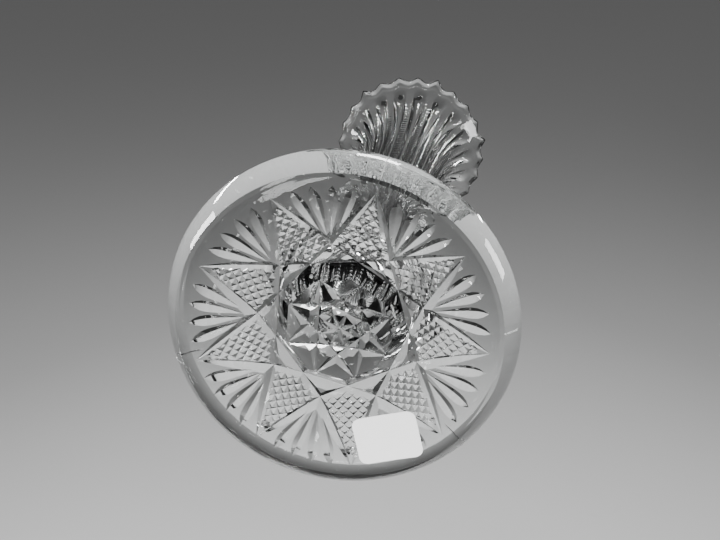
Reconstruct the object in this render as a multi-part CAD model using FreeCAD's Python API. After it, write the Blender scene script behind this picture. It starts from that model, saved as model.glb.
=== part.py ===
"""A pressed-glass trumpet vase on a wide star-patterned foot.

The vase stands upright: +Z up, with the origin at the centre of the foot's resting plane.
The glass is made as three gathers joined face to face: the foot, a ring knop and the hollow
trumpet.  A blank paper label lies on the underside of the foot.  All sizes are millimetres.
"""
import FreeCAD
import Part

import math
import os

Vector = FreeCAD.Vector
UP = Vector(0, 0, 1)
AXIS_POINT = Vector(0, 0, 0)

# Driving dimensions ---------------------------------------------------------------------------
total_height = 236.0
foot_radius = 57.0
mouth_radius = 39.0

# Foot
foot_widest_z = 8.3
standing_ring_inner = 50.6
standing_ring_outer = 52.0
lower_edge_bulge = 0.7
underside_rise = 7.0
boss_drop = 3.0
boss_radius = 17.6
boss_foot_radius = 20.2
foot_edge_top_z = 14.5
foot_edge_top_radius = 53.5
foot_slope_middle_radius = 24.0
foot_slope_middle_z = 19.3
foot_neck_radius = 12.5
foot_height = 27.0

# Star pattern pressed into the underside
star_points = 9
star_turn_deg = 4.5
star_node_radius = 0.474 * foot_radius
star_tip_radius = 0.838 * foot_radius
star_depth = 2.4
star_overlap = 1.0
fan_blades = 4
fan_root_gap = 4.0
fan_depth = 1.8
blade_taper_power = 5
hobstar_points = 8
hobstar_turn_deg = 29.0
hobstar_distance = 0.119 * foot_radius
hobstar_reach = 0.275 * foot_radius
hobstar_depth = 1.9
button_ray_reach = 0.11 * foot_radius
button_ray_depth = 1.0
groove_half_angle_deg = 41.0
fan_half_angle_deg = 46.0
hobstar_half_angle_deg = 49.0
groove_spans = 5

# Ring knop between the foot and the trumpet
knop_radius = 16.5
knop_height = 10.0

# Trumpet
taper_per_mm = 0.04
flare_radius = 18.5
flare_length = 14.5
body_wall = 4.4
lip_wall = 2.1
wall_thinning_length = 40.0
well_bottom_z = 56.0
well_rounding_height = 8.8
well_arc_radius_share = 0.72
well_arc_height_share = 0.3
profile_stations = 9
flutes = 18
flute_depth_ratio = 0.075
flute_share = 0.62
flute_top_below_rim = 6.0
flute_fade_length = 4.5
faintest_flute = 0.03
rim_teeth = 24
tall_tooth_every = 4
first_tall_tooth = 2
notch_depth = 2.3
notch_inner_reach = 0.4 * mouth_radius
notch_outer_reach = 1.2 * mouth_radius
low_tooth_drop = 0.9

# Label
label_width = 21.5
label_depth = 15.0
label_corner_radius = 2.6
label_thickness = 0.12
label_centre_radius = 0.703 * foot_radius
label_direction_deg = 46.2
label_turn_deg = -35.5

# Sizes that follow ----------------------------------------------------------------------------
star_step_deg = 360.0 / star_points
dome_radius = (standing_ring_inner ** 2 + underside_rise ** 2) / (2 * underside_rise)
dome_centre = Vector(0, 0, underside_rise - dome_radius)
knop_top_z = foot_height + knop_height

# How far cutting shapes stand clear of the surface that they cut
clear_below = 1.0


def turned(shape, angle_deg):
    """The shape turned about the vase's axis."""
    copy = shape.copy()
    copy.rotate(AXIS_POINT, UP, angle_deg)
    return copy


def revolved(edges):
    """A solid of revolution from a closed profile drawn in the XZ plane."""
    outline = Part.Wire(Part.__sortEdges__(edges))
    return Part.Face(outline).revolve(AXIS_POINT, UP, 360)


def straight(a, b):
    return Part.LineSegment(Vector(a[0], 0, a[1]), Vector(b[0], 0, b[1])).toShape()


def arc(a, middle, b):
    ends = [Vector(p[0], 0, p[1]) for p in (a, middle, b)]
    return Part.Arc(*ends).toShape()


def bulged(a, b, bulge):
    """A shallow arc from a to b that stands out to the right of the straight line."""
    run, rise = b[0] - a[0], b[1] - a[1]
    length = math.hypot(run, rise)
    middle = (a[0] + run / 2 + bulge * rise / length, a[1] + rise / 2 - bulge * run / length)
    return arc(a, middle, b)


def rounding(upright, end):
    """An arc that is vertical at its first point and ends at the second, nearer the axis."""
    inward = upright[0] - end[0]
    rise = end[1] - upright[1]
    radius = (inward ** 2 + rise ** 2) / (2 * inward)
    half_sweep = math.atan2(rise, radius - inward) / 2
    centre = (upright[0] - radius, upright[1])
    middle = (
        centre[0] + radius * math.cos(half_sweep),
        centre[1] + radius * math.sin(half_sweep),
    )
    return arc(upright, middle, end)


def smooth(points):
    """A smooth curve through points given as (radius, height)."""
    curve = Part.BSplineCurve()
    curve.interpolate([Vector(r, 0, z) for r, z in points])
    return curve.toShape()


def convex_solid(lower, upper):
    """A closed solid between two matching polygons, with flat sides between them."""
    faces = [Part.Face(Part.makePolygon(ring + ring[:1])) for ring in (lower, upper)]
    for i in range(len(lower)):
        j = (i + 1) % len(lower)
        side = [lower[i], lower[j], upper[j], upper[i], lower[i]]
        faces.append(Part.Face(Part.makePolygon(side)))
    solid = Part.makeSolid(Part.makeShell(faces))
    if solid.Volume < 0:
        solid.reverse()
    return solid


# Foot -----------------------------------------------------------------------------------------
def underside_z(radius):
    """Height of the plain underside at a radius: a dish with a raised boss in its middle."""
    dish = dome_centre.z + math.sqrt(dome_radius ** 2 - radius ** 2)
    on_boss = (boss_foot_radius - radius) / (boss_foot_radius - boss_radius)
    return dish - boss_drop * min(1.0, max(0.0, on_boss))


def lens(share):
    """Depth along a mitre that runs out at both ends."""
    return 1 - (2 * share - 1) ** 2


def petal(share):
    """Depth along a blade: grows from the root, is most well past the middle, ends in a point."""
    deepest = (1 + blade_taper_power) ** (-1 / blade_taper_power)
    most = deepest * blade_taper_power / (1 + blade_taper_power)
    return share * (1 - share ** blade_taper_power) / most


def run_out(share):
    """Depth along a mitre that starts full and runs out at its far end."""
    return 1 - share ** 2


def even(share):
    """Depth along a mitre that stays full."""
    return 1.0


def groove(start, end, depth, shape, half_angle_deg):
    """A V-shaped mitre from start to end, points in the XY plane, cut up into the underside."""
    run = Vector(end[0] - start[0], end[1] - start[1], 0)
    sideways = UP.cross(run).normalize()
    spread = math.tan(math.radians(half_angle_deg))
    sections = []
    for i in range(groove_spans + 1):
        share = i / groove_spans
        point = Vector(start[0], start[1], 0) + run * share
        apex = underside_z(point.Length) + depth * shape(share)
        floor_point = Vector(point.x, point.y, -clear_below)
        half_width = (apex + clear_below) * spread
        sections.append([
            Vector(point.x, point.y, apex),
            floor_point + sideways * half_width,
            floor_point - sideways * half_width,
        ])
    spans = [convex_solid(a, b) for a, b in zip(sections, sections[1:])]
    return spans[0].multiFuse(spans[1:]).removeSplitter()


def polar(radius, angle_deg):
    angle = math.radians(angle_deg)
    return (radius * math.cos(angle), radius * math.sin(angle))


def towards(start, end, distance):
    """The point at a distance from start on the way to end."""
    share = distance / math.dist(start, end)
    return (start[0] + share * (end[0] - start[0]), start[1] + share * (end[1] - start[1]))


def star_mitres():
    """One side of the star: a straight run between two crossings, and an arm to each tip."""
    crossings = [polar(star_node_radius, side * star_step_deg) for side in (-1, 1)]
    tips = [polar(star_tip_radius, side * star_step_deg * 1.5) for side in (-1, 1)]
    runs = [groove(crossings[0], crossings[1], star_depth, even, groove_half_angle_deg)]
    for crossing, tip in zip(crossings, tips):
        inner_end = towards(crossing, tip, -star_overlap)
        runs.append(groove(inner_end, tip, star_depth, run_out, groove_half_angle_deg))
    return runs


def fan():
    """The blades that open outward from one crossing of the star, on the +X side."""
    root_centre = polar(star_node_radius, 0)
    gap_deg = star_step_deg / (fan_blades + 1)
    blades = []
    for i in range(fan_blades):
        tip = polar(star_tip_radius, (i - (fan_blades - 1) / 2) * gap_deg)
        root = towards(root_centre, tip, fan_root_gap)
        blades.append(groove(root, tip, fan_depth, petal, fan_half_angle_deg))
    return blades


def star_cutters():
    """The nine sides of the star and the nine fans between its points."""
    one_side = star_mitres() + fan()
    cutters = []
    for i in range(star_points):
        turn = star_turn_deg + i * star_step_deg
        cutters += [turned(shape, turn) for shape in one_side]
    return cutters


def chord(distance, reach, depth, half_angle_deg):
    """A mitre along a chord whose middle lies on the +X side, at a distance from the axis."""
    return groove((distance, -reach), (distance, reach), depth, lens, half_angle_deg)


def hobstar_cutters():
    """The eight-pointed star in the middle, and the small rays on its button."""
    step = 360.0 / hobstar_points
    mitre = chord(hobstar_distance, hobstar_reach, hobstar_depth, hobstar_half_angle_deg)
    ray = chord(0, button_ray_reach, button_ray_depth, groove_half_angle_deg)
    mitres = [turned(mitre, hobstar_turn_deg + i * step) for i in range(hobstar_points)]
    rays = [turned(ray, hobstar_turn_deg + (i + 0.5) * step) for i in range(hobstar_points // 2)]
    return mitres + rays


def make_foot():
    widest = (foot_radius, foot_widest_z)
    ring_edge = (standing_ring_outer, 0)
    shoulder = (foot_edge_top_radius, foot_edge_top_z)
    slope_middle = (foot_slope_middle_radius, foot_slope_middle_z)
    boss_middle, boss_edge, boss_foot, dish_middle = [
        (r, underside_z(r)) for r in (
            0.5 * boss_radius, boss_radius, boss_foot_radius,
            0.5 * (boss_foot_radius + standing_ring_inner),
        )
    ]
    boss_top = (0, underside_z(0))
    body = revolved([
        arc(boss_top, boss_middle, boss_edge),
        straight(boss_edge, boss_foot),
        arc(boss_foot, dish_middle, (standing_ring_inner, 0)),
        straight((standing_ring_inner, 0), (standing_ring_outer, 0)),
        bulged(ring_edge, widest, lower_edge_bulge),
        rounding(widest, shoulder),
        arc(shoulder, slope_middle, (foot_neck_radius, foot_height)),
        straight((foot_neck_radius, foot_height), (0, foot_height)),
        straight((0, foot_height), boss_top),
    ])
    return body.cut(star_cutters() + hobstar_cutters())


# Ring knop ------------------------------------------------------------------------------------
def make_knop():
    middle_z = foot_height + knop_height / 2
    return revolved([
        straight((0, foot_height), (foot_neck_radius, foot_height)),
        arc((foot_neck_radius, foot_height), (knop_radius, middle_z), (foot_neck_radius, knop_top_z)),
        straight((foot_neck_radius, knop_top_z), (0, knop_top_z)),
        straight((0, knop_top_z), (0, foot_height)),
    ])


# Trumpet --------------------------------------------------------------------------------------
def trumpet_radius(z):
    """A straight taper that opens in an exponential flare: the outside of the trumpet."""
    below = total_height - z
    rim_taper = mouth_radius - flare_radius
    return rim_taper - taper_per_mm * below + flare_radius * math.exp(-below / flare_length)


def wall(z):
    """Glass thickness, which thins towards the lip."""
    below = total_height - z
    return body_wall - (body_wall - lip_wall) * math.exp(-below / wall_thinning_length)


def inside_point(z):
    """The point of the inner wall facing the outer wall at height z."""
    below = total_height - z
    slope = taper_per_mm + flare_radius / flare_length * math.exp(-below / flare_length)
    angle = math.atan(slope)
    return (trumpet_radius(z) - wall(z) * math.cos(angle), z + wall(z) * math.sin(angle))


def heights(low, high, count):
    """Heights that crowd together towards the flared rim."""
    return [high - (high - low) * (1 - i / (count - 1)) ** 2 for i in range(count)]


def flute_ring(z):
    """The fluted outline of the trumpet at a height: scooped flutes with ribs between them."""
    radius = trumpet_radius(z)
    fade = min(1.0, max(0.0, (total_height - flute_top_below_rim - z) / flute_fade_length))
    fade = faintest_flute + (1 - faintest_flute) * fade * fade * (3 - 2 * fade)
    depth = flute_depth_ratio * radius * fade
    step = 360.0 / flutes
    half_flute = flute_share * step / 2
    edges = []
    for i in range(flutes):
        centre = i * step
        marks = [
            (radius, centre - half_flute),
            (radius - depth, centre),
            (radius, centre + half_flute),
            (radius, centre + step / 2),
            (radius, centre + step - half_flute),
        ]
        points = [Vector(*polar(r, a), z) for r, a in marks]
        edges.append(Part.Arc(*points[:3]).toShape())
        edges.append(Part.Arc(*points[2:]).toShape())
    return Part.Wire(edges)


def fluted_body():
    """The solid outside of the trumpet, from the knop to the rim."""
    levels = heights(knop_top_z, total_height, profile_stations)
    return Part.makeLoft([flute_ring(z) for z in levels], True, False)


def cavity():
    """The open inside of the trumpet, rounded at the bottom of the well."""
    levels = heights(well_bottom_z + well_rounding_height, total_height, profile_stations)
    inner = [inside_point(z) for z in levels]
    well_radius, well_side_z = inner[0]
    arc_middle = (
        well_arc_radius_share * well_radius,
        well_bottom_z + well_arc_height_share * (well_side_z - well_bottom_z),
    )
    above = inner[-1][1] + clear_below
    return revolved([
        arc((0, well_bottom_z), arc_middle, inner[0]),
        smooth(inner),
        straight(inner[-1], (inner[-1][0], above)),
        straight((inner[-1][0], above), (0, above)),
        straight((0, above), (0, well_bottom_z)),
    ])


def rim_notch(index):
    """The wedge between two teeth: flat sides that all meet on the axis at rim height."""
    step = math.radians(360.0 / rim_teeth)
    tall = [(index + side) % tall_tooth_every == first_tall_tooth for side in (0, 1)]
    drops = [0.0 if is_tall else low_tooth_drop for is_tall in tall]
    profile = [
        (-step / 2, -drops[0]),
        (0.0, -notch_depth),
        (step / 2, -drops[1]),
        (step / 2, clear_below),
        (-step / 2, clear_below),
    ]
    rings = []
    for reach in (notch_inner_reach, notch_outer_reach):
        scale = reach / mouth_radius
        rings.append([
            Vector(reach, reach * math.tan(turn), total_height + drop * scale)
            for turn, drop in profile
        ])
    return turned(convex_solid(*rings), math.degrees(step) * (index + 0.5))


def make_trumpet():
    hollow = fluted_body().cut(cavity())
    return hollow.cut([rim_notch(i) for i in range(rim_teeth)])


# Label ----------------------------------------------------------------------------------------
def make_label():
    """A thin rounded-corner sheet that follows the dished underside, with nothing on it."""
    plate = Part.makeBox(
        label_width, label_depth, 2 * underside_rise,
        Vector(-label_width / 2, -label_depth / 2, -clear_below),
    )
    upright = [edge for edge in plate.Edges if abs(edge.tangentAt(0).z) > 0.99]
    plate = plate.makeFillet(label_corner_radius, upright)
    plate.rotate(AXIS_POINT, UP, label_turn_deg)
    plate.translate(Vector(*polar(label_centre_radius, label_direction_deg), 0))
    skin = Part.makeSphere(dome_radius, dome_centre).cut(
        Part.makeSphere(dome_radius - label_thickness, dome_centre)
    )
    return plate.common(skin)


def main():
    os.makedirs("parts", exist_ok=True)
    nodes = {
        "foot": make_foot,
        "ring_knop": make_knop,
        "trumpet": make_trumpet,
        "label": make_label,
    }
    for name, make in nodes.items():
        shape = make()
        box = shape.BoundBox
        print(name, shape.isValid(), len(shape.Solids), len(shape.Faces), round(shape.Volume),
              [round(v, 2) for v in (box.XMin, box.YMin, box.ZMin, box.XMax, box.YMax, box.ZMax)])
        shape.exportStep("parts/%s.step" % name)


main()
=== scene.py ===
import math

import bmesh
import bpy
import numpy as np
from mathutils import Matrix, Vector


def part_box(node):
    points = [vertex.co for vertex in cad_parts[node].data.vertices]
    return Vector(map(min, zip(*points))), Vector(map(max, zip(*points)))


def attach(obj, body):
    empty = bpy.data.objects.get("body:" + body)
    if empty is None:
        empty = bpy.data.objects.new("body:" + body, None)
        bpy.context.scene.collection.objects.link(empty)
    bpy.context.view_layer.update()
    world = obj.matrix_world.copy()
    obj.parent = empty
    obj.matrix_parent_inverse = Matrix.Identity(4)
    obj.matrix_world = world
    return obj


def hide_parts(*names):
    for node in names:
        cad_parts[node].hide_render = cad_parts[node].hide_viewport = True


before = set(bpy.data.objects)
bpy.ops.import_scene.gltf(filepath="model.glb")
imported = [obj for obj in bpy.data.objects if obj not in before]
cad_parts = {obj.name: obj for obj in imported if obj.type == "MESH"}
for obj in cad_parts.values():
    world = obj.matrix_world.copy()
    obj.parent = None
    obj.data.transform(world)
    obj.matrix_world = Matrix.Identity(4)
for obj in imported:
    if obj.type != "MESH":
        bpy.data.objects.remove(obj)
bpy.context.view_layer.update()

MM = 0.001

# The CAD model's own sizes
foot_radius, _, foot_height = np.array(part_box("foot")[1]) / MM
knop_radius, _, knop_top_z = np.array(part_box("ring_knop")[1]) / MM
total_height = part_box("trumpet")[1][2] / MM
mouth_radius = 39.0

# Foot
foot_widest_z = 8.3
standing_ring_inner = 50.6
standing_ring_outer = 52.0
lower_edge_bulge = 0.7
underside_rise = 7.0
boss_drop = 3.0
boss_radius = 17.6
boss_foot_radius = 20.2
foot_edge_top_z = 14.5
foot_edge_top_radius = 53.5
foot_slope_middle_radius = 24.0
foot_slope_middle_z = 19.3
foot_neck_radius = 12.5

# Star pattern pressed into the underside
star_points = 9
star_turn_deg = 4.5
star_node_radius = 0.474 * foot_radius
star_tip_radius = 0.838 * foot_radius
star_depth = 2.4
star_overlap = 1.0
fan_blades = 4
fan_root_gap = 4.0
fan_depth = 1.8
blade_taper_power = 5
hobstar_points = 8
hobstar_turn_deg = 29.0
hobstar_distance = 0.119 * foot_radius
hobstar_reach = 0.275 * foot_radius
hobstar_depth = 1.9
button_ray_reach = 0.11 * foot_radius
button_ray_depth = 1.0
groove_half_angle_deg = 41.0
fan_half_angle_deg = 46.0
hobstar_half_angle_deg = 49.0
groove_spans = 10
clear_below = 1.0
nail_pitch = 2.3
nail_groove_share = 0.93
nail_field_tip_radius = 44.0
nail_field_inset = 0.9
nail_rows_each_way = 8
nail_spans = 4
shortest_nail_groove = 0.8 * nail_pitch

# Mould seams: fine raised lines over the foot's rim
seam_count = 3
seam_turn_deg = 24.6
seam_half_width_deg = 0.22
seam_height = 0.12
seam_inner_radius = 49.5
seam_lowest_z = 0.3

# Trumpet
taper_per_mm = 0.04
flare_radius = 18.5
flare_length = 14.5
body_wall = 4.4
lip_wall = 2.1
wall_thinning_length = 40.0
well_bottom_z = 56.0
well_rounding_height = 8.8
flutes = 18
flute_depth_ratio = 0.075
flute_share = 0.62
flute_top_below_rim = 6.0
flute_fade_length = 4.5
flute_foot_fade = 6.0
rim_teeth = 24
tall_tooth_every = 4
first_tall_tooth = 2
notch_depth = 2.3
low_tooth_drop = 0.9
lip_round = 0.7
lip_outer_inset = 1.3 * lip_round
lip_inner_inset = 1.1 * lip_round
lip_inner_curve = 0.7 * lip_round
lip_shares = (0.3, 0.75)
plain_under_notches = 1.6
rib_rise_share = 0.6
zipper_pitch = 2.6
zipper_depth = 0.45
zipper_top_below_rim = 12.0

# Label
label_size = (21.5, 15.0)
label_corner_radius = 2.6
label_thickness = 0.12
label_gap = 0.01
label_centre_radius = 0.703 * foot_radius
label_direction_deg = 46.2
label_turn_deg = -35.5

# Floor
floor_half = 8000.0
floor_drop = 650.0

# How finely the meshes are divided
ring_steps = 288
seam_clearance_deg = 0.4 * 360.0 / ring_steps
boss_rows, dish_rows = 11, 21
innermost_row_radius = 1.5
edge_rows, shoulder_rows, slope_rows, knop_rows = 16, 12, 40, 32
rows_per_zipper_notch = 4
inner_wall_rows = 110
well_rows = 14
label_columns, label_rows = 44, 30
foot_crease_deg, knop_crease_deg, trumpet_crease_deg, label_crease_deg = 14, 40, 38, 40

# Sizes that follow
star_step_deg = 360.0 / star_points
dome_radius = (standing_ring_inner ** 2 + underside_rise ** 2) / (2 * underside_rise)
dome_centre_z = underside_rise - dome_radius


# Meshes ---------------------------------------------------------------------------------------
def mesh_object(name, points, faces):
    """A mesh object from points in millimetres."""
    mesh = bpy.data.meshes.new(name)
    mesh.from_pydata((np.asarray(points) * MM).tolist(), [], faces)
    mesh.validate()
    thing = bpy.data.objects.new(name, mesh)
    bpy.context.scene.collection.objects.link(thing)
    return thing


def smooth_shaded(thing, crease_deg):
    """Smooth shading that keeps every crease sharper than the angle."""
    mesh = thing.data
    mesh.polygons.foreach_set("use_smooth", [True] * len(mesh.polygons))
    mesh.set_sharp_from_angle(angle=math.radians(crease_deg))


def ring_angles():
    """Even steps round the axis, with three extra close ones across each mould seam."""
    seams = [seam_turn_deg + i * 360.0 / seam_count for i in range(seam_count)]
    even = [i * 360.0 / ring_steps for i in range(ring_steps)]
    angles = [a for a in even if all(abs(a - seam) > seam_clearance_deg for seam in seams)]
    for seam in seams:
        angles += [seam - seam_half_width_deg, seam, seam + seam_half_width_deg]
    return np.radians(sorted(angles)), np.radians(seams)


angles, seam_angles = ring_angles()


def grid_faces(rows, columns, flip=False):
    """Quads between rows of a grid that closes on itself round the axis."""
    faces = []
    for i in range(rows - 1):
        for j in range(columns):
            k = (j + 1) % columns
            quad = [i * columns + j, i * columns + k, (i + 1) * columns + k, (i + 1) * columns + j]
            faces.append(quad[::-1] if flip else quad)
    return faces


def cap_faces(row, columns, pole, flip=False):
    """Triangles from one row of a grid to a pole on the axis."""
    faces = []
    for j in range(columns):
        triangle = [row * columns + (j + 1) % columns, row * columns + j, pole]
        faces.append(triangle[::-1] if flip else triangle)
    return faces


def turned(points, angle_deg):
    """Points turned about the vase's axis."""
    c, s = math.cos(math.radians(angle_deg)), math.sin(math.radians(angle_deg))
    return points @ np.array([[c, s, 0], [-s, c, 0], [0, 0, 1]])


def arc_through(a, middle, b, steps):
    """Points on the circle through three points, without the first."""
    (ax, ay), (mx, my), (bx, by) = a, middle, b
    d = 2 * (ax * (my - by) + mx * (by - ay) + bx * (ay - my))
    ux = ((ax * ax + ay * ay) * (my - by) + (mx * mx + my * my) * (by - ay)
          + (bx * bx + by * by) * (ay - my)) / d
    uy = ((ax * ax + ay * ay) * (bx - mx) + (mx * mx + my * my) * (ax - bx)
          + (bx * bx + by * by) * (mx - ax)) / d
    radius = math.hypot(ax - ux, ay - uy)
    start, mid, end = [math.atan2(y - uy, x - ux) for x, y in (a, middle, b)]
    full = 2 * math.pi
    sweep = (end - start) % full
    if (mid - start) % full > sweep:
        sweep -= full
    turns = [start + sweep * i / steps for i in range(1, steps + 1)]
    return [(ux + radius * math.cos(t), uy + radius * math.sin(t)) for t in turns]


def bulged(a, b, bulge, steps):
    """Points on a shallow arc from a to b that stands out to the right of the straight line."""
    run, rise = b[0] - a[0], b[1] - a[1]
    length = math.hypot(run, rise)
    middle = (a[0] + run / 2 + bulge * rise / length, a[1] + rise / 2 - bulge * run / length)
    return arc_through(a, middle, b, steps)


def rounding(upright, end, steps):
    """An arc that is vertical at its first point and ends at the second; without its ends."""
    inward = upright[0] - end[0]
    rise = end[1] - upright[1]
    radius = (inward ** 2 + rise ** 2) / (2 * inward)
    sweep = math.atan2(rise, radius - inward)
    centre_x = upright[0] - radius
    turns = [sweep * i / steps for i in range(1, steps)]
    return [(centre_x + radius * math.cos(t), upright[1] + radius * math.sin(t)) for t in turns]


# Foot -----------------------------------------------------------------------------------------
def underside_z(radius):
    """Height of the plain underside at a radius: a dish with a raised boss in the middle."""
    radius = np.asarray(radius, float)
    dish = dome_centre_z + np.sqrt(dome_radius ** 2 - radius ** 2)
    on_boss = np.clip((boss_foot_radius - radius) / (boss_foot_radius - boss_radius), 0, 1)
    return dish - boss_drop * on_boss


def foot_profile():
    """Radius and height from the middle of the underside, round the edge, to the neck."""
    radii = [*np.linspace(innermost_row_radius, boss_radius, boss_rows),
             *np.linspace(boss_foot_radius, standing_ring_inner, dish_rows)]
    dish = [(r, float(underside_z(r))) for r in radii]
    ring_edge = (standing_ring_outer, 0.0)
    widest = (foot_radius, foot_widest_z)
    shoulder = (foot_edge_top_radius, foot_edge_top_z)
    neck = (foot_neck_radius, foot_height)
    slope = (foot_slope_middle_radius, foot_slope_middle_z)
    below = bulged(ring_edge, widest, lower_edge_bulge, edge_rows)
    above = rounding(widest, shoulder, shoulder_rows)
    top = arc_through(shoulder, slope, neck, slope_rows)
    ring = [(0.5 * (standing_ring_inner + standing_ring_outer), 0.0), ring_edge]
    return dish + ring + below + above + [shoulder] + top


def foot_blank():
    """The foot before its pattern: a closed solid of revolution with fine mould seams."""
    profile = np.array(foot_profile())
    step = np.gradient(profile, axis=0)
    outward = np.stack([step[:, 1], -step[:, 0]], 1) / np.linalg.norm(step, axis=1)[:, None]
    on_seam = np.min(np.abs(angles[:, None] - seam_angles[None, :]), axis=1) < 1e-6
    raised = (profile[:, 0] > seam_inner_radius) & (profile[:, 1] > seam_lowest_z)
    lift = seam_height * raised[:, None] * on_seam[None, :]
    radius = profile[:, 0, None] + lift * outward[:, 0, None]
    height = profile[:, 1, None] + lift * outward[:, 1, None]
    points = np.stack([radius * np.cos(angles), radius * np.sin(angles),
                       np.broadcast_to(height, radius.shape)], -1).reshape(-1, 3)
    rows, columns = radius.shape
    points = np.vstack([points, [0, 0, underside_rise - boss_drop], [0, 0, foot_height]])
    faces = grid_faces(rows, columns)
    faces += cap_faces(0, columns, rows * columns)
    faces += cap_faces(rows - 1, columns, rows * columns + 1, flip=True)
    return mesh_object("foot_glass", points, faces)


def polar(radius, angle_deg):
    angle = math.radians(angle_deg)
    return np.array([radius * math.cos(angle), radius * math.sin(angle)])


def towards(start, end, distance):
    """The point at a distance from start on the way to end."""
    return start + (end - start) * distance / np.linalg.norm(end - start)


def lens(share):
    return 1 - (2 * share - 1) ** 2


def petal(share):
    """Grows from the root, is widest well past the middle, and closes in a point."""
    deepest = (1 + blade_taper_power) ** (-1 / blade_taper_power)
    most = deepest * blade_taper_power / (1 + blade_taper_power)
    return share * (1 - share ** blade_taper_power) / most


def run_out(share):
    return 1 - share ** 2


def even(share):
    return 1.0


def groove(start, end, depth, shape, half_angle_deg, spans=groove_spans):
    """A V-shaped cutter from start to end: its points, and faces that close it."""
    start, end = np.asarray(start, float), np.asarray(end, float)
    along = (end - start) / np.linalg.norm(end - start)
    sideways = np.array([-along[1], along[0]])
    spread = math.tan(math.radians(half_angle_deg))
    points = []
    for i in range(spans + 1):
        share = i / spans
        middle = start + (end - start) * share
        apex = float(underside_z(np.linalg.norm(middle))) + depth * shape(share)
        half_width = (apex + clear_below) * spread
        left, right = middle + sideways * half_width, middle - sideways * half_width
        points += [[*middle, apex], [*left, -clear_below], [*right, -clear_below]]
    faces = [[0, 1, 2], [3 * spans + 2, 3 * spans + 1, 3 * spans]]
    for i in range(spans):
        for a, b in ((0, 1), (1, 2), (2, 0)):
            faces.append([3 * i + b, 3 * i + a, 3 * i + 3 + a, 3 * i + 3 + b])
    return np.array(points), faces


def repeated(cutters, turns):
    """Copies of the cutters turned to each angle, as one list."""
    return [(turned(points, turn), faces) for turn in turns for points, faces in cutters]


def joined(name, cutters):
    """One object from cutters that don't touch each other."""
    points, faces, count = [], [], 0
    for some_points, some_faces in cutters:
        points.append(some_points)
        faces += [[i + count for i in face] for face in some_faces]
        count += len(some_points)
    return mesh_object(name, np.vstack(points), faces)


def star_turns(start=0, every=1):
    return [star_turn_deg + i * star_step_deg for i in range(start, star_points, every)]


def star_groups():
    """The star: straight runs between crossings in three groups, then its arms in two."""
    crossings = [polar(star_node_radius, side * star_step_deg) for side in (-1, 1)]
    tips = [polar(star_tip_radius, side * star_step_deg * 1.5) for side in (-1, 1)]
    run = groove(crossings[0], crossings[1], star_depth, even, groove_half_angle_deg)
    groups = [repeated([run], star_turns(i, 3)) for i in range(3)]
    for crossing, tip in zip(crossings, tips):
        arm = groove(towards(crossing, tip, -star_overlap), tip, star_depth, run_out,
                     groove_half_angle_deg)
        groups.append(repeated([arm], star_turns()))
    return groups


def fan_groups():
    """The blades that open outward from each crossing of the star."""
    root_centre = polar(star_node_radius, 0)
    gap_deg = star_step_deg / (fan_blades + 1)
    groups = []
    for i in range(fan_blades):
        tip = polar(star_tip_radius, (i - (fan_blades - 1) / 2) * gap_deg)
        root = towards(root_centre, tip, fan_root_gap)
        blade = groove(root, tip, fan_depth, petal, fan_half_angle_deg)
        groups.append(repeated([blade], star_turns()))
    return groups


def hobstar_groups():
    """The eight-pointed star in the middle, and the small rays on its button."""
    step = 360.0 / hobstar_points
    half = hobstar_points // 2
    mitre = groove((hobstar_distance, -hobstar_reach), (hobstar_distance, hobstar_reach),
                   hobstar_depth, lens, hobstar_half_angle_deg)
    ray = groove((0, -button_ray_reach), (0, button_ray_reach), button_ray_depth, lens,
                 groove_half_angle_deg)
    pairs = [repeated([mitre], [hobstar_turn_deg + i * step, hobstar_turn_deg + 180 + i * step])
             for i in range(half)]
    rays = [repeated([ray], [hobstar_turn_deg + (i + 0.5) * step]) for i in range(half)]
    return pairs + rays


def crossing_of(polygon, normal, distance):
    """Where the line normal . p = distance runs inside a convex polygon, or None."""
    hits = []
    for a, b in zip(polygon, np.roll(polygon, -1, axis=0)):
        da, db = normal @ a - distance, normal @ b - distance
        if da * db < 0:
            hits.append(a + (b - a) * da / (da - db))
    return hits if len(hits) == 2 else None


def nail_groups():
    """Fine crossed grooves that leave a field of little pyramids inside each star point."""
    half = star_step_deg / 2
    inner = star_node_radius * math.cos(math.radians(star_step_deg)) / math.cos(math.radians(half))
    field = np.array([
        polar(inner + nail_field_inset, 0),
        towards(polar(star_node_radius, half), polar(star_node_radius, -half), nail_field_inset),
        polar(nail_field_tip_radius, 0),
        towards(polar(star_node_radius, -half), polar(star_node_radius, half), nail_field_inset),
    ])
    depth = 0.5 * nail_pitch * nail_groove_share / math.tan(math.radians(groove_half_angle_deg))
    middle = polar(0.5 * (inner + nail_field_tip_radius), 0)
    groups = []
    for lean in (-45, 45):
        normal = polar(1, lean)
        cutters = []
        for i in range(-nail_rows_each_way, nail_rows_each_way + 1):
            ends = crossing_of(field, normal, normal @ middle + i * nail_pitch)
            if ends is not None and np.linalg.norm(ends[1] - ends[0]) > shortest_nail_groove:
                cutters.append(groove(ends[0], ends[1], depth, even, groove_half_angle_deg,
                                      nail_spans))
        groups.append(repeated(cutters, [turn + half for turn in star_turns()]))
    return groups


def cut_away(solid, groups):
    """The solid's mesh with every group of cutters taken out of it."""
    cutters = []
    for i, group in enumerate(groups):
        cutter = joined("cutter_%d" % i, group)
        cutters.append(cutter)
        cut = solid.modifiers.new("cut_%d" % i, "BOOLEAN")
        cut.operation = "DIFFERENCE"
        cut.solver = "MANIFOLD"
        cut.object = cutter
    bpy.context.view_layer.update()
    result = bpy.data.meshes.new_from_object(
        solid.evaluated_get(bpy.context.evaluated_depsgraph_get()))
    solid.modifiers.clear()
    solid.data = result
    for cutter in cutters:
        bpy.data.meshes.remove(cutter.data)


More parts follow.
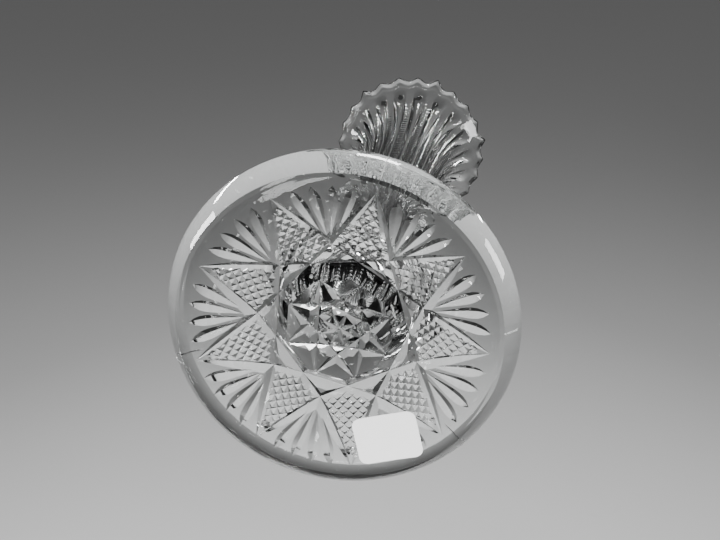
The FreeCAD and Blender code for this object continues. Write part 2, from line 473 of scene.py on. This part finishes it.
def open_joint(thing, z):
    """Takes away the flat disc at a height, where the glass is fused to the next gather."""
    mesh = bmesh.new()
    mesh.from_mesh(thing.data)
    disc = [face for face in mesh.faces
            if abs(face.normal.z) > 0.999 and all(abs(v.co.z - z * MM) < 1e-7 for v in face.verts)]
    bmesh.ops.delete(mesh, geom=disc, context="FACES")
    mesh.to_mesh(thing.data)
    mesh.free()


def make_foot():
    foot = foot_blank()
    cut_away(foot, star_groups() + fan_groups() + hobstar_groups() + nail_groups())
    open_joint(foot, foot_height)
    smooth_shaded(foot, foot_crease_deg)
    return foot


# Ring knop ------------------------------------------------------------------------------------
def make_knop():
    middle_z = 0.5 * (foot_height + knop_top_z)
    start, end = (foot_neck_radius, foot_height), (foot_neck_radius, knop_top_z)
    profile = np.array([start] + arc_through(start, (knop_radius, middle_z), end, knop_rows))
    radius, height = profile[:, 0, None], profile[:, 1, None]
    points = np.stack([radius * np.cos(angles), radius * np.sin(angles),
                       height + 0 * angles], -1).reshape(-1, 3)
    knop = mesh_object("knop_glass", points, grid_faces(len(profile), len(angles)))
    smooth_shaded(knop, knop_crease_deg)
    return knop


# Trumpet --------------------------------------------------------------------------------------
def trumpet_radius(z):
    """A straight taper that opens in an exponential flare: the outside of the trumpet."""
    below = total_height - z
    rim_taper = mouth_radius - flare_radius
    return rim_taper - taper_per_mm * below + flare_radius * np.exp(-below / flare_length)


def inner_profile():
    """Radius and height of the inner wall, from the rounded bottom of the well to the rim."""
    z = np.linspace(well_bottom_z + well_rounding_height, total_height, 160)
    below = total_height - z
    wall = body_wall - (body_wall - lip_wall) * np.exp(-below / wall_thinning_length)
    slope = np.arctan(taper_per_mm + flare_radius / flare_length * np.exp(-below / flare_length))
    return trumpet_radius(z) - wall * np.cos(slope), z + wall * np.sin(slope)


def smooth_step(x):
    x = np.clip(x, 0, 1)
    return x * x * (3 - 2 * x)


def rim_height():
    """Height of the toothed rim at each angle: pointed teeth, every fourth one taller."""
    step = 2 * math.pi / rim_teeth
    teeth_passed = angles / step
    left = np.floor(teeth_passed)
    share = teeth_passed - left
    drops = [np.where((left + side) % tall_tooth_every == first_tall_tooth, 0.0, low_tooth_drop)
             for side in (0, 1)]
    peak = np.where(share < 0.5, drops[0], drops[1])
    off_peak = np.minimum(share, 1 - share) * 2
    pointed, rounded = np.sin(0.5 * math.pi * off_peak), smooth_step(off_peak)
    return total_height - (peak + (notch_depth - peak) * 0.5 * (pointed + rounded))


def outer_surface(z):
    """Radius of the fluted outside at heights z, one for each angle."""
    radius = trumpet_radius(z)
    top_fade = smooth_step((total_height - flute_top_below_rim - z) / flute_fade_length)
    foot_fade = smooth_step((z - knop_top_z) / flute_foot_fade)
    step = 2 * math.pi / flutes
    off_centre = np.abs((angles + step / 2) % step - step / 2)
    scoop = np.clip(1 - (off_centre / (flute_share * step / 2)) ** 2, 0, None)
    rib = smooth_step((off_centre / (step / 2) - flute_share) / (rib_rise_share * (1 - flute_share)))
    tooth = np.abs((z / zipper_pitch) % 1 - 0.5) * 2
    zip_fade = smooth_step((total_height - zipper_top_below_rim - z) / flute_fade_length)
    radius = radius - flute_depth_ratio * radius * top_fade * foot_fade * scoop
    radius = radius - zipper_depth * rib * tooth * zip_fade * foot_fade
    blend = smooth_step((z - knop_top_z) / flute_foot_fade)
    return foot_neck_radius * (1 - blend) + radius * blend


def make_trumpet():
    """One skin: up the fluted outside, over the toothed lip, and down inside to the well."""
    top = rim_height()
    shoulder_z = total_height - notch_depth - plain_under_notches
    rows_below = int((shoulder_z - knop_top_z) / (zipper_pitch / rows_per_zipper_notch))
    rows = []
    for z in np.linspace(knop_top_z, shoulder_z, rows_below):
        rows.append((outer_surface(z + 0 * angles), z + 0 * angles))
    for share in np.linspace(0, 1, 7)[1:]:
        z = shoulder_z + (top - lip_round - shoulder_z) * share
        rows.append((outer_surface(z), z))
    inner_r, inner_z = inner_profile()
    outer_top, inner_top = trumpet_radius(top), np.interp(top, inner_z, inner_r)
    for share in lip_shares:
        rows.append((outer_top - lip_round * share ** 2, top - lip_round * (1 - share)))
    for share in np.linspace(0, 1, 5):
        outer, inner = outer_top - lip_outer_inset, inner_top + lip_inner_inset
        edge = (1 - share) * outer + share * inner
        rows.append((edge, top + 0 * angles))
    for share in lip_shares[::-1]:
        rows.append((inner_top + lip_inner_curve * share ** 2, top - lip_round * (1 - share)))
    low = inner_z[0]
    for z in np.linspace(shoulder_z, low, inner_wall_rows):
        if z == shoulder_z:
            for share in (0.25, 0.5, 0.75):
                between = top - lip_round + (shoulder_z - top + lip_round) * share
                rows.append((np.interp(between, inner_z, inner_r), between))
        rows.append((np.interp(z, inner_z, inner_r) + 0 * angles, z + 0 * angles))
    well = inner_r[0]
    for turn in np.linspace(0, math.pi / 2, well_rows)[1:-1]:
        drop = low - (low - well_bottom_z) * math.sin(turn)
        rows.append((well * math.cos(turn) + 0 * angles, drop + 0 * angles))
    radius = np.array([row[0] for row in rows])
    height = np.array([row[1] for row in rows])
    points = np.stack([radius * np.cos(angles), radius * np.sin(angles), height], -1)
    count, columns = radius.shape
    points = np.vstack([points.reshape(-1, 3), [0, 0, well_bottom_z]])
    faces = grid_faces(count, columns) + cap_faces(count - 1, columns, count * columns, flip=True)
    trumpet = mesh_object("trumpet_glass", points, faces)
    smooth_shaded(trumpet, trumpet_crease_deg)
    return trumpet


# Label ----------------------------------------------------------------------------------------
def make_label():
    """A thin blank sticker with rounded corners that follows the dished underside."""
    columns, rows = label_columns, label_rows
    half = np.array(label_size) / 2
    corner = label_corner_radius
    grid = []
    for v in np.linspace(-1, 1, rows + 1):
        for u in np.linspace(-1, 1, columns + 1):
            x, y = u * half[0], v * half[1]
            over = max(0.0, abs(y) - (half[1] - corner))
            pull = corner - math.sqrt(max(0.0, corner ** 2 - over ** 2))
            grid.append((x * (half[0] - pull) / half[0], y, 0))
    flat = turned(np.array(grid), label_turn_deg)
    flat[:, :2] += polar(label_centre_radius, label_direction_deg)
    skins = []
    for depth in (label_gap, label_thickness):
        skin = flat.copy()
        reach = dome_radius - depth
        skin[:, 2] = dome_centre_z + np.sqrt(reach ** 2 - (flat[:, :2] ** 2).sum(1))
        skins.append(skin)
    width = columns + 1
    count = width * (rows + 1)
    faces = []
    for i in range(rows):
        for j in range(columns):
            a = i * width + j
            faces.append([a, a + 1, a + width + 1, a + width])
            faces.append([count + k for k in (a, a + width, a + width + 1, a + 1)])
    rim = list(range(width))
    rim += [i * width + columns for i in range(1, rows + 1)]
    rim += [rows * width + j for j in range(columns - 1, -1, -1)]
    rim += [i * width for i in range(rows - 1, 0, -1)]
    for a, b in zip(rim, rim[1:] + rim[:1]):
        faces.append([b, a, count + a, count + b])
    label = mesh_object("label_sheet", np.vstack(skins), faces)
    smooth_shaded(label, label_crease_deg)
    return label


# Materials ------------------------------------------------------------------------------------
def new_material(name):
    material = bpy.data.materials.new(name)
    material.use_nodes = True
    nodes = material.node_tree.nodes
    return material, nodes, material.node_tree.links, nodes["Principled BSDF"]


def noise(nodes, links, scale, detail):
    """Noise in the object's own coordinates, one unit to the metre."""
    coordinates = nodes.new("ShaderNodeTexCoord")
    texture = nodes.new("ShaderNodeTexNoise")
    texture.inputs["Scale"].default_value = scale
    texture.inputs["Detail"].default_value = detail
    links.new(coordinates.outputs["Object"], texture.inputs["Vector"])
    return texture


def spread(nodes, links, source, low, high):
    """Maps a noise from its middle range to the range low to high."""
    scale = nodes.new("ShaderNodeMapRange")
    scale.inputs["From Min"].default_value = 0.3
    scale.inputs["From Max"].default_value = 0.7
    scale.inputs["To Min"].default_value = low
    scale.inputs["To Max"].default_value = high
    links.new(source, scale.inputs["Value"])
    return scale.outputs["Result"]


def clear_glass():
    """Colourless fire-polished pressed glass: gentle waves, and a faint haze in patches."""
    material, nodes, links, shader = new_material("clear_glass")
    shader.inputs["Base Color"].default_value = (0.95, 0.965, 0.96, 1)
    shader.inputs["Transmission Weight"].default_value = 1.0
    shader.inputs["IOR"].default_value = 1.52
    haze = noise(nodes, links, scale=55, detail=3)
    links.new(spread(nodes, links, haze.outputs["Fac"], 0.0, 0.03), shader.inputs["Roughness"])
    waves = noise(nodes, links, scale=120, detail=2)
    bump = nodes.new("ShaderNodeBump")
    bump.inputs["Strength"].default_value = 0.25
    bump.inputs["Distance"].default_value = 0.0004
    links.new(waves.outputs["Fac"], bump.inputs["Height"])
    links.new(bump.outputs["Normal"], shader.inputs["Normal"])
    return material


def label_paper():
    """Matt sticker paper: fine fibre grain and a slight warm mottle."""
    material, nodes, links, shader = new_material("label_paper")
    fibre = noise(nodes, links, scale=2600, detail=6)
    mottle = noise(nodes, links, scale=160, detail=3)
    tint = nodes.new("ShaderNodeMix")
    tint.data_type = "RGBA"
    tint.inputs["A"].default_value = (0.90, 0.90, 0.89, 1)
    tint.inputs["B"].default_value = (0.97, 0.97, 0.97, 1)
    links.new(mottle.outputs["Fac"], tint.inputs["Factor"])
    links.new(tint.outputs["Result"], shader.inputs["Base Color"])
    links.new(spread(nodes, links, fibre.outputs["Fac"], 0.5, 0.7), shader.inputs["Roughness"])
    bump = nodes.new("ShaderNodeBump")
    bump.inputs["Strength"].default_value = 0.3
    bump.inputs["Distance"].default_value = 0.00005
    links.new(fibre.outputs["Fac"], bump.inputs["Height"])
    links.new(bump.outputs["Normal"], shader.inputs["Normal"])
    return material


# The object -----------------------------------------------------------------------------------
def place(piece, node, material):
    piece.data.materials.clear()
    piece.data.materials.append(material)
    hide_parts(node)
    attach(piece, "root")


glass = clear_glass()
place(make_foot(), "foot", glass)
place(make_knop(), "ring_knop", glass)
place(make_trumpet(), "trumpet", glass)
place(make_label(), "label", label_paper())


# Stage, light and camera ----------------------------------------------------------------------
# The vase lies as if on its foot's edge and its mouth, on the side of this direction; the floor is
# parallel to that plane.
lying_side = Vector((0.329, 0.944, 0)).normalized()
foot_contact = lying_side * foot_radius + Vector((0, 0, foot_widest_z))
mouth_contact = lying_side * mouth_radius + Vector((0, 0, total_height))
floor_along = (mouth_contact - foot_contact).normalized()
floor_across = lying_side.cross(Vector((0, 0, 1))).normalized()
floor_up = floor_across.cross(floor_along).normalized()
if floor_up.dot(lying_side) > 0:
    floor_up = -floor_up


def facing(direction, upward):
    """The turn that points an object's -Z along a direction, with its Y near upward."""
    back = -direction.normalized()
    side = upward.cross(back).normalized()
    return Matrix((side, back.cross(side), back)).transposed().to_4x4()


def make_floor():
    """A plain pale floor parallel to the lying vase, far enough below it to be seen round."""
    under = foot_contact - floor_up * floor_drop
    across, along = floor_across * floor_half, floor_along * floor_half
    corners = [under + a + b for a, b in
               ((-across, -along), (across, -along), (across, along), (-across, along))]
    floor = mesh_object("floor", [list(c) for c in corners], [[0, 1, 2, 3]])
    material, nodes, links, shader = new_material("floor_pale")
    shader.inputs["Base Color"].default_value = (0.65, 0.65, 0.65, 1)
    shader.inputs["Roughness"].default_value = 0.8
    floor.data.materials.append(material)


def soft_box(name, aim, side, along, up, size, power):
    """A rectangular soft light, placed from the aim point by the floor's own directions."""
    data = bpy.data.lights.new(name, "AREA")
    data.shape = "RECTANGLE"
    data.size, data.size_y = size
    data.energy = power
    lamp = bpy.data.objects.new(name, data)
    bpy.context.scene.collection.objects.link(lamp)
    offset = floor_across * side + floor_along * along + floor_up * up
    lamp.matrix_world = Matrix.Translation(aim + offset) @ facing(-offset, floor_along)


def make_world():
    """A pale studio below the vase's foot that darkens gently beyond its mouth."""
    world = bpy.data.worlds.new("studio")
    world.use_nodes = True
    nodes, links = world.node_tree.nodes, world.node_tree.links
    direction = nodes.new("ShaderNodeTexCoord")
    split = nodes.new("ShaderNodeSeparateXYZ")
    shade = nodes.new("ShaderNodeMapRange")
    shade.interpolation_type = "SMOOTHSTEP"
    for name, value in {"From Min": 0.0, "From Max": 0.5, "To Min": 0.2, "To Max": 0.03}.items():
        shade.inputs[name].default_value = value
    links.new(direction.outputs["Generated"], split.inputs["Vector"])
    links.new(split.outputs["Z"], shade.inputs["Value"])
    links.new(shade.outputs["Result"], nodes["Background"].inputs["Strength"])
    nodes["Background"].inputs["Color"].default_value = (1, 1, 1, 1)
    bpy.context.scene.world = world


def make_camera():
    """Looks from under the foot, as it lies, with a normal lens."""
    data = bpy.data.cameras.new("camera")
    data.sensor_width = 36.0
    data.lens = 52.5
    camera = bpy.data.objects.new("camera", data)
    bpy.context.scene.collection.objects.link(camera)
    forward = Vector((-0.002, 0.378, 0.926)).normalized()
    image_up = Vector((-0.372, -0.860, 0.350))
    place_at = Vector((0, -0.1434, -0.295))
    camera.matrix_world = Matrix.Translation(place_at) @ facing(forward, image_up)
    bpy.context.scene.camera = camera


middle = Vector((0, 0, 0.04))
make_floor()
make_world()
soft_box("overhead", middle, 0.1, 0.55, 0.8, (0.3, 0.12), 6)
soft_box("front", middle, -0.35, -0.95, 0.25, (0.3, 0.2), 18)
soft_box("rim_strip", middle, 0.12, -0.5, 0.85, (0.6, 0.035), 6)
soft_box("back_right", middle, 0.6, 0.8, 0.25, (0.04, 0.5), 5)
soft_box("back_left", middle, -0.7, 0.6, 0.25, (0.04, 0.5), 5)
soft_box("left", middle, -0.8, 0.0, 0.18, (0.25, 0.2), 5)
soft_box("right", middle, 0.8, 0.15, 0.18, (0.25, 0.2), 3)
make_camera()
